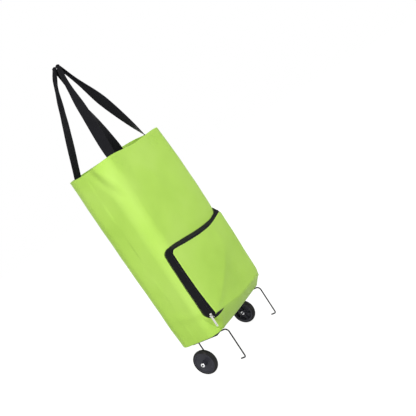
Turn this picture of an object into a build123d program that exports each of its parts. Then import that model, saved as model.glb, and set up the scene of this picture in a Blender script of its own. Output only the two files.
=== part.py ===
from build123d import *
import os
from math import cos, radians, sin

os.makedirs("parts", exist_ok=True)

# A foldable fabric shopping bag that rolls: a tall fabric tote on a stiff base, carried by two
# bent wire frames. Each frame is a standing leg at the front and an axle with a wheel at the back.
# X runs along the axles, the pocket and the standing legs face -Y, and Z is up from the ground.

# ---- Running and seating clearances ----
seat_gap = 0.2          # between pieces that are sewn or riveted face to face
running_gap = 0.06      # radial, between a wire and the bore that turns on it
press_gap = 0.02        # radial, between a wire and the nut pushed on to it
swing_gap = 0.3         # between pieces that move past each other

# ---- Fabric bag ----
fabric = 1.6
bag_width = 252.0
bag_depth = 118.0
bag_corner = 30.0
bag_height = 447.0
bottom_corner = 12.0
bag_swell = 12.5        # how far the front stands out beside its right corner, where it is fullest
swell_left = 0.2        # share of the swell that is left at the front's left corner
swell_side = 0.2        # share of the swell that is left past the front's right corner
curve_lead = 0.5523     # handle of a curve round a corner, as a share of the corner's radius
lip_sag = 5.0           # of the lip between the front handle's ends and on the left side
seam_fin = 9.0
seam_thickness = 1.2
seam_start = 8.0

# ---- Wheels ----
wheel_radius = 30.0
tyre_width = 14.0
tyre_crown = 3.0
rim_radius = 25.8
rim_flange = 1.5
rim_setback = 1.0       # of the rim's edges behind the tyre's sides
tyre_bed_radius = 23.6
rim_inner_radius = 21.4
rim_lip_height = 1.6    # of the raised lip round the outer face
rim_lip_bevel = 1.0
web_thickness = 2.2
web_dish = 2.0          # how far the outer face sinks from the rim to the hub
web_sag = 0.8
web_overlap = 0.5
hub_radius = 6.4
hub_end_radius = 4.4
hub_overhang = 5.0      # how far the hub stands out past the tyre
rib_count = 6
rib_thickness = 1.6
rib_setback = 1.2

# ---- Bent wire frames ----
wire_radius = 1.6
frame_inset = 30.0      # from the bag's side in to the wire of each frame
wheel_inset = 13.0      # from the bag's side in to the middle plane of each tyre
axle_drop = 47.8        # from the fold axis down to the axle
leg_ahead = 66.0        # standing leg ahead of the middle of the bag
axle_behind = 24.5      # axle behind the middle of the bag
foot_length = 13.0
foot_bend = 4.0
leg_bend = 9.0
rear_bend = 6.0
axle_bend = 4.5
axle_end = 1.4          # wire left standing out of the push nut
washer_thickness = 1.2
washer_radius = 4.6
nut_length = 2.4
nut_radius = 5.0

# ---- Base ----
channel_width = 24.0
channel_thickness = 6.8
channel_front = 42.0    # ahead of the middle of the bag
channel_back = 34.0     # behind the middle of the bag
channel_corner = 3.0
channel_edge = 1.0
notch_margin = 2.4
board_thickness = 3.0
board_margin = 1.2
rivet_radius = 1.55
rivet_head_radius = 3.1
rivet_head_height = 1.2
rivet_head_bevel = 1.0
clinch_thickness = 1.0
rivet_inset = 5.2       # rivet centre from the channel's inner edge
rivet_end_inset = 8.0   # rivet centre from the channel's front end and from its notch

# ---- Pocket with its zip ----
pocket_inset = 6.5      # from the bag's side in to the gusset
pocket_height = 174.0   # of the panel at its sides
pocket_depth = 18.0
pocket_above_bag_bottom = 33.0
pocket_rise = 10.0      # from the panel's top up to the gusset's edge on the bag
pocket_sag = 13.0       # of the pocket's top edge between its corners
panel_corner = 10.0
gusset_corner = 28.0
pocket_bottom_corner = 6.0
gusset_reach = 30.0     # from the panel back to the gusset's edge on the bag's rounded corners
gusset_tail = 22.0
spine_inset = 15.5
spine_thickness = 2.0
zip_setback = 4.6       # from the panel's face to the nearer row of the zip
coil_width = 1.6
coil_height = 1.4
slider_length = 11.0
slider_width = 8.0
slider_plate = 1.4
slider_waist = 5.4
bar_radius = 0.9
post_thickness = 0.9
tab_length = 26.0
tab_width = 4.4
tab_thickness = 1.0
tab_eye_radius = 1.85

# ---- Webbing handles ----
strap_width = 25.0
strap_thickness = 2.0
handle_inset = 42.0     # from the bag's side in to the middle of each sewn end
handle_rise = 229.0
handle_lean = 42.5      # how far the top stands in from the lip
crown_radius = 5.0      # inside of the bend at the top
tab_sewn_length = 36.0
twist_steps = 6

# ---- Wrist loop ----
loop_width = 15.0
loop_length = 62.0
loop_thickness = 0.85
loop_slack = 0.9
loop_ahead = 18.0
loop_above_bag_bottom = 80.0

# ---- Heights and places that follow from the sizes above ----
axle_z = wheel_radius
fold_z = axle_z + axle_drop
channel_z = fold_z - channel_thickness / 2
bag_z = fold_z + channel_thickness / 2 + seat_gap
bag_top_z = bag_z + bag_height
wall_z = bag_z + bottom_corner
board_z = bag_z + fabric + seat_gap
board_top_z = board_z + board_thickness
loop_top_z = bag_z + loop_above_bag_bottom
swell_z = loop_top_z
tab_z = bag_top_z + seat_gap - tab_sewn_length

# The whole object is centred on the origin, so the bag sits back by half the pocket's depth.
bag_y = pocket_depth / 2
bag_front_y = bag_y - bag_depth / 2
bag_back_y = bag_y + bag_depth / 2
leg_y = bag_y - leg_ahead
axle_y = bag_y + axle_behind

frame_x = bag_width / 2 - frame_inset
wheel_x = bag_width / 2 - wheel_inset
hub_inner_x = wheel_x - tyre_width / 2 - swing_gap
washer_x = hub_inner_x - swing_gap - washer_thickness
hub_outer_x = wheel_x + tyre_width / 2 + hub_overhang
nut_x = hub_outer_x + swing_gap
axle_tip_x = nut_x + nut_length + axle_end

pocket_width = bag_width - 2 * pocket_inset
pocket_z = bag_z + pocket_above_bag_bottom
pocket_front = bag_depth / 2 + pocket_depth - bag_y


def save(piece, name):
    """Label a finished piece and write it as its own STEP file."""
    piece.label = name
    export_step(piece, f"parts/{name}.step")


def both_sides(make, name):
    """Make a piece once for each side; make() takes -1 for the left and 1 for the right."""
    for side, word in ((-1, "left"), (1, "right")):
        save(make(side), f"{word}_{name}")


# ---- Bag: a tray with a soft lower edge, and walls that swell out in front ----
with BuildPart() as bag_tray:
    with BuildSketch(Plane.XY.offset(bag_z)):
        with Locations((0, bag_y)):
            RectangleRounded(bag_width, bag_depth, bag_corner)
    extrude(amount=bottom_corner + fabric)
    fillet(bag_tray.faces().sort_by(Axis.Z)[0].edges(), bottom_corner)
    offset(amount=-fabric, openings=bag_tray.faces().sort_by(Axis.Z)[-1])


def wall_outline(swell, inset=0.0):
    """Outline of the bag's walls about its middle, inset from their outer face.

    The front swells out most at its right end. The swell dies away over the front's left corner
    and along the right side, and the back and the left side stay flat.
    """
    x = bag_width / 2 - inset
    y = bag_depth / 2 - inset
    corner = bag_corner - inset
    side_out = swell * swell_side
    lead = curve_lead * corner
    across_lead = curve_lead * (corner + side_out)
    ahead_lead = curve_lead * (corner + swell)
    left_slope = swell * (1 - swell_left) / (x - corner)
    right_slope = side_out / (y - corner)
    left_end = (corner - x, -y - swell * swell_left)
    right_end = (x - corner, -y - swell)
    side_front = (x + side_out, corner - y)
    with BuildSketch() as outline:
        with BuildLine():
            Bezier((-x, corner - y), (-x, corner - y - lead),
                   (left_end[0] - lead, left_end[1] + lead * left_slope), left_end)
            Bezier(left_end, (0, right_end[1]), right_end)
            Bezier(right_end, (right_end[0] + across_lead, right_end[1]),
                   (side_front[0] + ahead_lead * right_slope, side_front[1] - ahead_lead), side_front)
            Bezier(side_front, (x, 0), (x, y - corner))
            CenterArc((x - corner, y - corner), corner, 0, 90)
            Line((x - corner, y), (corner - x, y))
            CenterArc((corner - x, y - corner), corner, 90, 90)
            Line((-x, y - corner), (-x, corner - y))
        make_face()
    return outline.sketch


def bag_walls(inset=0.0):
    """Solid block inside the bag's walls: straight, then swollen, then straight up to the lip."""
    with BuildPart() as block:
        for share, fullness in swell_stops:
            with BuildSketch(Plane((0, bag_y, swell_z + (tab_z - swell_z) * share))):
                add(wall_outline(fullness * bag_swell, inset))
        loft()
        for start, end in ((wall_z, swell_z), (tab_z, bag_top_z)):
            with BuildSketch(Plane((0, bag_y, start))):
                add(wall_outline(0, inset))
            extrude(amount=end - start)
    return block.part


# Share of the way up from the wrist loop to the sewn ends of the handles, and of the full swell.
swell_stops = ((0, 0), (0.2, 0.14), (0.35, 0.48), (0.5, 0.92), (0.62, 1), (0.76, 0.72), (0.9, 0.25), (1, 0))

with BuildPart() as bag_skin_walls:
    add(bag_walls())
    add(bag_walls(fabric), mode=Mode.SUBTRACT)
    with BuildSketch(Plane.XZ.offset(-bag_y)):
        with BuildLine():
            front_lip = ThreePointArc((handle_inset - bag_width / 2 + strap_width / 2, bag_top_z),
                                      (0, bag_top_z - lip_sag),
                                      (bag_width / 2 - handle_inset - strap_width / 2, bag_top_z))
            Line(front_lip @ 1, front_lip @ 0)
        make_face()
    extrude(amount=bag_depth, mode=Mode.SUBTRACT)
    with BuildSketch(Plane.YZ):
        with BuildLine():
            left_lip = ThreePointArc((bag_front_y + bag_corner, bag_top_z), (bag_y, bag_top_z - lip_sag),
                                     (bag_back_y - bag_corner, bag_top_z))
            Line(left_lip @ 1, left_lip @ 0)
        make_face()
    extrude(amount=-bag_width, mode=Mode.SUBTRACT)

seam_plane = Plane.XZ.offset(-bag_y)
wall_plane = Plane.XY.offset(wall_z)

with BuildPart() as bag_front_panel:
    add(bag_skin_walls.part)
    split(bisect_by=seam_plane, keep=Keep.TOP)
save(bag_front_panel.part, "bag_front_panel")

with BuildPart() as bag_back_panel:
    add(bag_skin_walls.part)
    split(bisect_by=seam_plane, keep=Keep.BOTTOM)
save(bag_back_panel.part, "bag_back_panel")

# ---- Rivets hold each channel through the bag's bottom to the board inside ----
notch_start = axle_y - rear_bend - notch_margin
rivet_x = frame_x - channel_width / 2 + rivet_inset
rivet_rows = (bag_y - channel_front + rivet_end_inset, notch_start - rivet_end_inset)
rivet_places = [(side * rivet_x, row) for side in (-1, 1) for row in rivet_rows]
rivet_hole_radius = rivet_radius + running_gap

with BuildPart() as bag_bottom_panel:
    add(bag_tray.part)
    split(bisect_by=wall_plane, keep=Keep.BOTTOM)
    with Locations(Plane.XY.offset(bag_z)):
        with Locations(*rivet_places):
            Hole(rivet_hole_radius)
save(bag_bottom_panel.part, "bag_bottom_panel")

board_inset = bottom_corner + board_margin
clinch_depth = clinch_thickness + seat_gap
with BuildPart() as base_board:
    with BuildSketch(Plane.XY.offset(board_z)):
        with Locations((0, bag_y)):
            RectangleRounded(bag_width - 2 * board_inset, bag_depth - 2 * board_inset,
                             bag_corner - board_inset)
    extrude(amount=board_thickness)
    with Locations(Plane.XY.offset(board_top_z)):
        with Locations(*rivet_places):
            CounterBoreHole(rivet_hole_radius, rivet_head_radius + swing_gap, clinch_depth + seat_gap)
save(base_board.part, "base_board")

# One rivet on the Z axis: domed head below, shank, and a clinched end sunk in the board.
clinch_z = board_top_z - clinch_depth - channel_z
with BuildPart() as rivet:
    with BuildSketch(Plane.XY.offset(-seat_gap)):
        Circle(rivet_head_radius)
    extrude(amount=-rivet_head_height)
    chamfer(rivet.edges().sort_by(Axis.Z)[0], rivet_head_bevel)
    with BuildSketch(Plane.XY.offset(-seat_gap)):
        Circle(rivet_radius)
    extrude(amount=clinch_z + seat_gap)
    with BuildSketch(Plane.XY.offset(clinch_z)):
        Circle(rivet_head_radius)
    extrude(amount=clinch_thickness)

with BuildPart() as channel_rivets:
    with Locations(*[(x, y, channel_z) for x, y in rivet_places]):
        add(rivet.part)
save(channel_rivets.part, "channel_rivets")


def base_channel(side):
    """Moulded bar under the bag: a groove for the wire and a notch where the wheel's leg swings."""
    groove_radius = wire_radius + running_gap
    length = channel_front + channel_back
    middle_y = bag_y + (channel_back - channel_front) / 2
    notch_length = axle_y + wire_radius + notch_margin - notch_start
    inner_width = channel_width / 2 + groove_radius
    with BuildPart() as channel:
        with BuildSketch(Plane.XY.offset(channel_z)):
            with Locations((side * frame_x, middle_y)):
                RectangleRounded(channel_width, length, channel_corner)
        extrude(amount=channel_thickness)
        chamfer(channel.faces().sort_by(Axis.Z)[0].edges(), channel_edge)
        with BuildSketch(Plane.XZ.offset(-bag_y)):
            with Locations((side * frame_x, fold_z)):
                Circle(groove_radius)
                Rectangle(2 * groove_radius, channel_thickness, align=(Align.CENTER, Align.MIN))
        extrude(amount=length, both=True, mode=Mode.SUBTRACT)
        with BuildSketch(Plane.XY.offset(channel_z)):
            with Locations((side * (frame_x + groove_radius - inner_width / 2),
                            notch_start + notch_length / 2)):
                Rectangle(inner_width, notch_length)
        extrude(amount=channel_thickness, mode=Mode.SUBTRACT)
        with Locations(Plane.XY.offset(channel_z)):
            with Locations(*[place for place in rivet_places if place[0] * side > 0]):
                Hole(rivet_hole_radius)
    return channel.part


both_sides(base_channel, "base_channel")


def seam_binding(side):
    """Bound seam allowance that stands inwards from the side seam, inside the bag."""
    fin_x = bag_width / 2 - fabric - seat_gap - seam_fin / 2
    with BuildPart() as binding:
        with BuildSketch(Plane.XY.offset(wall_z + seam_start)):
            with Locations((side * fin_x, bag_y)):
                Rectangle(seam_fin, seam_thickness)
        extrude(amount=bag_height - bottom_corner - 2 * seam_start)
    return binding.part


both_sides(seam_binding, "seam_binding")


def wire_frame(side):
    """One bent wire: foot, standing leg, fold axis along Y, wheel leg and axle."""
    x = side * frame_x
    with BuildPart() as frame:
        with BuildLine() as route:
            FilletPolyline((x, leg_y + foot_length, wire_radius), (x, leg_y, wire_radius),
                           (x, leg_y, fold_z), (x, axle_y, fold_z), (x, axle_y, axle_z),
                           (side * axle_tip_x, axle_y, axle_z),
                           radius=[foot_bend, leg_bend, rear_bend, axle_bend])
        with BuildSketch(Plane(route.line @ 0, z_dir=route.line % 0)):
            Circle(wire_radius)
        sweep(path=route.line)
    return frame.part


both_sides(wire_frame, "wire_frame")


def axle_plane(side, distance):
    """Plane across the axle at a distance from the middle, facing outwards."""
    return Plane((side * distance, axle_y, axle_z), x_dir=(0, 0, 1), z_dir=(side, 0, 0))


def axle_washer(side):
    """Washer between the wire's bend and the hub."""
    with BuildPart() as washer:
        with BuildSketch(axle_plane(side, washer_x)):
            Circle(washer_radius)
            Circle(wire_radius + running_gap, mode=Mode.SUBTRACT)
        extrude(amount=washer_thickness)
    return washer.part


both_sides(axle_washer, "axle_washer")


def push_nut(side):
    """Domed retaining cap pushed on to the end of the axle."""
    with BuildPart() as nut:
        with BuildSketch(axle_plane(side, nut_x)):
            Circle(nut_radius)
        extrude(amount=nut_length)
        fillet(nut.edges().sort_by(Axis.X)[0 if side < 0 else -1], nut_length * 0.6)
        with BuildSketch(axle_plane(side, nut_x)):
            Circle(wire_radius + press_gap)
        extrude(amount=nut_length, mode=Mode.SUBTRACT)
    return nut.part


both_sides(push_nut, "push_nut")


def wheel_hub(side):
    """Moulded wheel centre: flanged rim, dished web, long hub and ribs on the inner side.

    It is turned about the axle: along the sketch's X is the distance out from the tyre's middle
    plane, and along its Y is the distance from the axle.
    """
    bore = wire_radius + running_gap
    rim_half = tyre_width / 2 - rim_setback
    rim_face = rim_half - rim_lip_height
    hub_face = rim_face - web_dish
    web_middle = (rim_face + hub_face) / 2 - web_sag
    hub_out = hub_outer_x - wheel_x
    hub_in = wheel_x - hub_inner_x
    turn_plane = Plane((side * wheel_x, axle_y, axle_z), x_dir=(side, 0, 0), z_dir=(0, -side, 0))
    with BuildPart() as wheel:
        with BuildSketch(turn_plane):
            with BuildLine():
                Polyline((-rim_half, rim_radius),
                         (rim_flange - rim_half, rim_radius), (rim_flange - rim_half, tyre_bed_radius),
                         (rim_half - rim_flange, tyre_bed_radius), (rim_half - rim_flange, rim_radius),
                         (rim_half, rim_radius), (rim_half, rim_inner_radius + rim_lip_bevel),
                         (rim_face, rim_inner_radius), (-rim_half, rim_inner_radius),
                         (-rim_half, rim_radius))
            make_face()
            with BuildLine():
                outer_web = ThreePointArc((rim_face, rim_inner_radius + web_overlap),
                                          (web_middle, (rim_inner_radius + hub_radius) / 2),
                                          (hub_face, hub_radius - web_overlap))
                Polyline(outer_web @ 1, (hub_face - web_thickness, hub_radius - web_overlap))
                inner_web = ThreePointArc((hub_face - web_thickness, hub_radius - web_overlap),
                                          (web_middle - web_thickness, (rim_inner_radius + hub_radius) / 2),
                                          (rim_face - web_thickness, rim_inner_radius + web_overlap))
                Polyline(inner_web @ 1, outer_web @ 0)
            make_face()
            with BuildLine():
                Polyline((-hub_in, bore), (-hub_in, hub_end_radius),
                         (hub_face - web_thickness, hub_radius), (hub_face, hub_radius),
                         (hub_out, hub_end_radius), (hub_out, bore), (-hub_in, bore))
            make_face()
        revolve(axis=Axis((0, axle_y, axle_z), (1, 0, 0)))
        with BuildSketch(axle_plane(side, wheel_x - rim_half + rib_setback)):
            with PolarLocations((hub_end_radius + rim_inner_radius) / 2, rib_count):
                Rectangle(rim_inner_radius - hub_end_radius + web_overlap, rib_thickness)
        extrude(until=Until.NEXT)
    return wheel.part


def tyre(side):
    """Ring of rubber with a rounded tread, bedded between the rim's flanges."""
    half = tyre_width / 2
    bead_half = half - rim_setback - rim_flange - running_gap
    bed = tyre_bed_radius + running_gap
    turn_plane = Plane((side * wheel_x, axle_y, axle_z), x_dir=(side, 0, 0), z_dir=(0, -side, 0))
    with BuildPart() as ring:
        with BuildSketch(turn_plane):
            with BuildLine():
                Polyline((-half, wheel_radius - tyre_crown), (-half, rim_radius + 2 * running_gap),
                         (-bead_half, rim_radius + 2 * running_gap), (-bead_half, bed),
                         (bead_half, bed), (bead_half, rim_radius + 2 * running_gap),
                         (half, rim_radius + 2 * running_gap), (half, wheel_radius - tyre_crown))
                ThreePointArc((half, wheel_radius - tyre_crown), (0, wheel_radius),
                              (-half, wheel_radius - tyre_crown))
            make_face()
        revolve(axis=Axis((0, axle_y, axle_z), (1, 0, 0)))
    return ring.part


both_sides(wheel_hub, "wheel_hub")
both_sides(tyre, "tyre")


def pocket_face(behind, grow=0.0):
    """Outline of the pocket at a distance behind its face, grown outwards all round.

    The outline keeps its width and its lower edge, and its sagging top rises and rounds towards
    the bag.
    """
    share = behind / gusset_reach
    height = pocket_height + pocket_rise * share
    corner = panel_corner + (gusset_corner - panel_corner) * share
    side = pocket_width / 2 + grow
    low = pocket_z - grow
    high = pocket_z + height + grow
    with BuildSketch() as face:
        with BuildLine():
            top_edge = ThreePointArc((-side, high), (0, high - pocket_sag), (side, high))
            Polyline(top_edge @ 1, (side, low), (-side, low), top_edge @ 0)
        make_face()
        fillet(face.vertices().group_by(Axis.Y)[-1], corner + grow)
        fillet(face.vertices().group_by(Axis.Y)[0], pocket_bottom_corner + grow)
    return face.sketch


def pocket_band(start, end, outer, inner):
    """Band round the pocket between two distances behind its face, grown from inner to outer."""
    with BuildPart() as band:
        for grow, mode in ((outer, Mode.ADD), (inner, Mode.SUBTRACT)):
            for behind in (start, end):
                with BuildSketch(Plane.XZ.offset(pocket_front - behind)):
                    add(pocket_face(behind, grow))
            loft(ruled=True, mode=mode)
    return band.part


with BuildPart() as pocket_panel:
    with BuildSketch(Plane.XZ.offset(pocket_front - fabric)):
        add(pocket_face(0))
    extrude(amount=fabric)
save(pocket_panel.part, "pocket_panel")

# The gusset runs up one side, over the top and down the other, and its edge lies on the bag.
# Round each lower corner it narrows to a point, where the panel turns straight into the spine.
tail_start = pocket_width / 2 - pocket_bottom_corner
with BuildPart() as pocket_gusset:
    add(pocket_band(fabric + seat_gap, gusset_reach, 0, -fabric))
    add(bag_walls(-seat_gap), mode=Mode.SUBTRACT)
    with BuildSketch(Plane.XY.offset(pocket_z - swing_gap)):
        with BuildLine():
            Polyline((gusset_tail - tail_start, -pocket_front), (tail_start - gusset_tail, -pocket_front),
                     (tail_start, bag_front_y), (-tail_start, bag_front_y),
                     (gusset_tail - tail_start, -pocket_front))
        make_face()
    extrude(amount=fabric + 2 * swing_gap, mode=Mode.SUBTRACT)
save(pocket_gusset.part, "pocket_gusset")

zip_bottom_plane = Plane.XY.offset(pocket_z + pocket_bottom_corner)
row_pitch = coil_width + seat_gap


def zip_row(order):
    """One row of the zip's coil round the outside of the gusset, ending above the lower corners."""
    start = zip_setback + order * row_pitch
    with BuildPart() as row:
        add(pocket_band(start, start + coil_width, seat_gap + coil_height, seat_gap))
        split(bisect_by=zip_bottom_plane, keep=Keep.TOP)
    return row.part


save(zip_row(0), "panel_zip_row")
save(zip_row(1), "gusset_zip_row")

with BuildPart() as spine_strip:
    with BuildSketch(Plane.YZ):
        with BuildLine():
            Polyline((-pocket_front, pocket_z - seat_gap),
                     (spine_thickness - pocket_front, pocket_z - seat_gap),
                     (bag_front_y - seat_gap, wall_z + spine_thickness),
                     (bag_front_y - seat_gap, wall_z),
                     (-pocket_front, pocket_z - seat_gap - spine_thickness),
                     (-pocket_front, pocket_z - seat_gap))
        make_face()
    extrude(amount=pocket_width / 2 - spine_inset, both=True)
save(spine_strip.part, "spine_strip")

# ---- Zip slider on the left of the pocket, with its pull tab hanging from a bar ----
coil_outer_x = -(pocket_width / 2 + seat_gap + coil_height)
plate_x = coil_outer_x - seat_gap
bar_x = plate_x - slider_plate - seat_gap - tab_eye_radius
slider_y = zip_setback + coil_width + seat_gap / 2 - pocket_front
slider_z = pocket_z + pocket_bottom_corner + slider_length / 2
side_plane = Plane((plate_x, slider_y, slider_z), x_dir=(0, 1, 0), z_dir=(-1, 0, 0))
post_gap = tab_width / 2 + swing_gap

with BuildPart() as zip_slider:
    with BuildSketch(side_plane):
        with BuildLine():
            upper = Line((-slider_width / 2, slider_length / 2), (slider_width / 2, slider_length / 2))
            right_flank = ThreePointArc(upper @ 1, (slider_waist / 2 + 0.6, 0),
                                        (slider_waist / 2, -slider_length / 2))
            lower = Line(right_flank @ 1, (-slider_waist / 2, -slider_length / 2))
            ThreePointArc(lower @ 1, (-slider_waist / 2 - 0.6, 0), upper @ 0)
        make_face()
    extrude(amount=slider_plate)
    with BuildSketch(side_plane.offset(slider_plate)):
        with Locations((-post_gap - post_thickness / 2, 0), (post_gap + post_thickness / 2, 0)):
            Rectangle(post_thickness, 2 * bar_radius + 1.6)
    extrude(amount=seat_gap + tab_eye_radius + bar_radius)
    with BuildSketch(Plane((bar_x, slider_y - post_gap - post_thickness, slider_z),
                           x_dir=(1, 0, 0), z_dir=(0, 1, 0))):
        Circle(bar_radius)
    extrude(amount=2 * (post_gap + post_thickness))
save(zip_slider.part, "zip_slider")

with BuildPart() as zip_pull_tab:
    with BuildSketch(Plane((bar_x, slider_y - tab_width / 2, slider_z),
                           x_dir=(1, 0, 0), z_dir=(0, 1, 0))):
        Circle(tab_eye_radius)
        with Locations((0, tab_length / 2)):
            Rectangle(tab_thickness, tab_length)
        Circle(bar_radius + running_gap, mode=Mode.SUBTRACT)
    extrude(amount=tab_width)
    with BuildSketch(Plane((bar_x, slider_y, slider_z - tab_length + tab_width),
                           x_dir=(0, 1, 0), z_dir=(-1, 0, 0))):
        Circle(tab_width * 0.28)
    extrude(amount=tab_thickness, both=True, mode=Mode.SUBTRACT)
save(zip_pull_tab.part, "zip_pull_tab")


# ---- Webbing handles: each end is sewn inside the lip, and each leg twists a quarter turn ----
strap_x = bag_width / 2 - handle_inset
strap_y = bag_depth / 2 - fabric - seat_gap - strap_thickness / 2
handle_z = bag_top_z + seat_gap + swing_gap
crown_z = handle_z + handle_rise
crown_x = crown_radius + strap_thickness / 2


def strap_section(step, facing):
    """Plane of the strap at one step up the left leg; facing is -1 in front and 1 behind."""
    share = step / twist_steps
    ease = share * share * (3 - 2 * share)
    x = -strap_x + (strap_x - crown_x) * share
    y = bag_y + facing * (strap_y - handle_lean * share)
    turn = radians(90 * ease)
    return Plane((x, y, handle_z + handle_rise * share),
                 x_dir=(cos(turn), facing * -sin(turn), 0), z_dir=(0, 0, 1))


def handle(facing):
    """One handle: two twisted legs that meet in a tight bend at the top."""
    crown_y = bag_y + facing * (strap_y - handle_lean)
    with BuildPart() as strap:
        for step in range(twist_steps + 1):
            with BuildSketch(strap_section(step, facing)):
                Rectangle(strap_width, strap_thickness)
        loft()
        mirror(about=Plane.YZ)
        with BuildSketch(Plane((0, crown_y - strap_width / 2, crown_z), x_dir=(1, 0, 0),
                               z_dir=(0, 1, 0))):
            Circle(crown_radius + strap_thickness)
            Circle(crown_radius, mode=Mode.SUBTRACT)
            Rectangle(4 * crown_radius, 4 * crown_radius, align=(Align.CENTER, Align.MIN),
                      mode=Mode.SUBTRACT)
        extrude(amount=strap_width)
    return strap.part


def handle_tabs(facing):
    """The two ends of a handle, sewn flat inside the lip of the bag."""
    with BuildPart() as tabs:
        with BuildSketch(Plane.XY.offset(tab_z)):
            with Locations((-strap_x, bag_y + facing * strap_y), (strap_x, bag_y + facing * strap_y)):
                Rectangle(strap_width, strap_thickness)
        extrude(amount=tab_sewn_length)
    return tabs.part


for facing, word in ((-1, "front"), (1, "back")):
    save(handle(facing), f"{word}_handle")
    save(handle_tabs(facing), f"{word}_handle_tabs")

# ---- Wrist loop: a doubled length of webbing that hangs flat against the right side ----
with BuildPart() as wrist_loop:
    with BuildSketch(Plane.XZ.offset(loop_ahead - bag_y)):
        with Locations((bag_width / 2 + seat_gap + loop_thickness + loop_slack / 2,
                        loop_top_z - loop_length / 2)):
            SlotOverall(loop_length, loop_slack + 2 * loop_thickness, rotation=90)
            SlotOverall(loop_length - 2 * loop_thickness, loop_slack, rotation=90,
                        mode=Mode.SUBTRACT)
    extrude(amount=loop_width / 2, both=True)
save(wrist_loop.part, "wrist_loop")
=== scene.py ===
"""Foldable fabric shopping bag on bent wire frames: its cloth, webbing, zip and finishes, in metres."""
from math import cos, pi, radians, sin, sqrt

import bmesh
import bpy
import numpy as np
from mathutils import Matrix, Vector


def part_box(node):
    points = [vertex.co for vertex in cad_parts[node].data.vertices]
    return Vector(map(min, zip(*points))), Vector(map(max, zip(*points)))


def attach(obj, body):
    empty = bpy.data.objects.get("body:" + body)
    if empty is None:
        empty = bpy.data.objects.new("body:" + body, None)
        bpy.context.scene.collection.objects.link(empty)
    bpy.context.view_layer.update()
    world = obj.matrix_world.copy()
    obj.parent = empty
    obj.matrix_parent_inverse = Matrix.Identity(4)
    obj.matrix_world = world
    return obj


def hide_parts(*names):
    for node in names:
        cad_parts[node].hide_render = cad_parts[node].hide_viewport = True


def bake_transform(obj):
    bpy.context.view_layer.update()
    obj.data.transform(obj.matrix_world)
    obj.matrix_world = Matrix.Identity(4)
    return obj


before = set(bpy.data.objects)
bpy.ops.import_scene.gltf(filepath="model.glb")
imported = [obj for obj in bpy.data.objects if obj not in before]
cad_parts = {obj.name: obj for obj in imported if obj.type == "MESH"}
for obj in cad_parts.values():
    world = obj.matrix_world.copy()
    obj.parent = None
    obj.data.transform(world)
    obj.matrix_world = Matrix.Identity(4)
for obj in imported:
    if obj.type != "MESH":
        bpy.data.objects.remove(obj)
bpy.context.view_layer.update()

mm = 0.001


# ---- Sizes read from the frame ----
def low(node):
    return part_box(node)[0]


def high(node):
    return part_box(node)[1]


half_width = high("bag_bottom_panel").x
front_y = low("bag_bottom_panel").y
back_y = high("bag_bottom_panel").y
mid_y = (front_y + back_y) / 2
half_depth = (back_y - front_y) / 2
floor_z = low("bag_bottom_panel").z
lip_z = high("bag_front_panel").z
panel_y = low("pocket_panel").y
panel_half = high("pocket_panel").x
crown_z = high("back_handle").z

# ---- Sizes of the cloth, webbing and thread themselves ----
bag_corner = 30 * mm
base_curve = 2 * mm             # radius of the bag's lower edge
cloth = 0.8 * mm
tape = 0.8 * mm
hem_height = 22 * mm
hem_gap = 0.9 * mm              # half the distance from the wall to the hem turned in behind it

strap_width = 25 * mm
strap_thickness = 1.8 * mm
strap_pinch = 15.5 * mm         # width that a strap loses where it is folded together at its crown
strap_curl = 3.6 * mm           # how far its edges bend back there
sewn_length = 36 * mm

panel_thickness = 1.6 * mm
panel_corner = 10 * mm
panel_rim = 2.4 * mm            # width of its turned edge
panel_turn = 1.1 * mm           # how far that edge turns back
pocket_crown = 6.0 * mm         # how far the panel's ridge stands out
gusset_inset = 0.3 * mm         # of the gusset's edge, from the panel's outline
gusset_setback = 0.9 * mm       # of the gusset's edge, behind the panel's face
tail_x = -82 * mm               # where the gusset starts, under the panel's lower left corner

tooth_pitch = 1.3 * mm
tooth_size = (0.75 * mm, 1.7 * mm, 1.0 * mm)    # length, width and height
tooth_lift = 0.3 * mm           # of a row of teeth, over the gusset
stitch_pitch = 3.0 * mm
stitch_size = (2.3 * mm, 0.5 * mm, 0.5 * mm)
thread_lift = 0.1 * mm          # of a sewing line's middle, over the cloth
edge_to_seam = 3.2 * mm

perimeter_steps = 264
wall_steps = 120


# ---------------------------------------------------------------- small helpers

def smooth(value, start, end):
    """0 before start, 1 after end, and a smooth step between them."""
    t = np.clip((np.asarray(value, float) - start) / (end - start), 0, 1)
    return t * t * (3 - 2 * t)


def hump(value, centre, width):
    """Bell curve, 1 at its centre."""
    return np.exp(-((np.asarray(value, float) - centre) / width) ** 2)


def curve_through(value, stops):
    """Smooth value that passes through (place, amount) stops without a corner at any of them."""
    places, amounts = np.array(stops, float).T
    slopes = np.gradient(amounts, places)
    slopes[0] = slopes[-1] = 0
    value = np.clip(np.asarray(value, float), places[0], places[-1])
    i = np.clip(np.searchsorted(places, value) - 1, 0, len(places) - 2)
    span = places[i + 1] - places[i]
    t = (value - places[i]) / span
    rise = amounts[i] * (1 + 2 * t) * (1 - t) ** 2 + amounts[i + 1] * t * t * (3 - 2 * t)
    return rise + span * (slopes[i] * t * (1 - t) ** 2 - slopes[i + 1] * t * t * (1 - t))


def distance_along(points):
    """Distance from the first of a line's points to each of them."""
    return np.r_[0, np.cumsum(np.linalg.norm(np.diff(points, axis=0), axis=1))]


def crossed_waves(a, b, first, second):
    """Product of two plane waves, each (radians per metre along a, the same along b, start)."""
    one, other = (np.sin(a * rate_a + b * rate_b + start) for rate_a, rate_b, start in (first, second))
    return one * other


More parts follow.
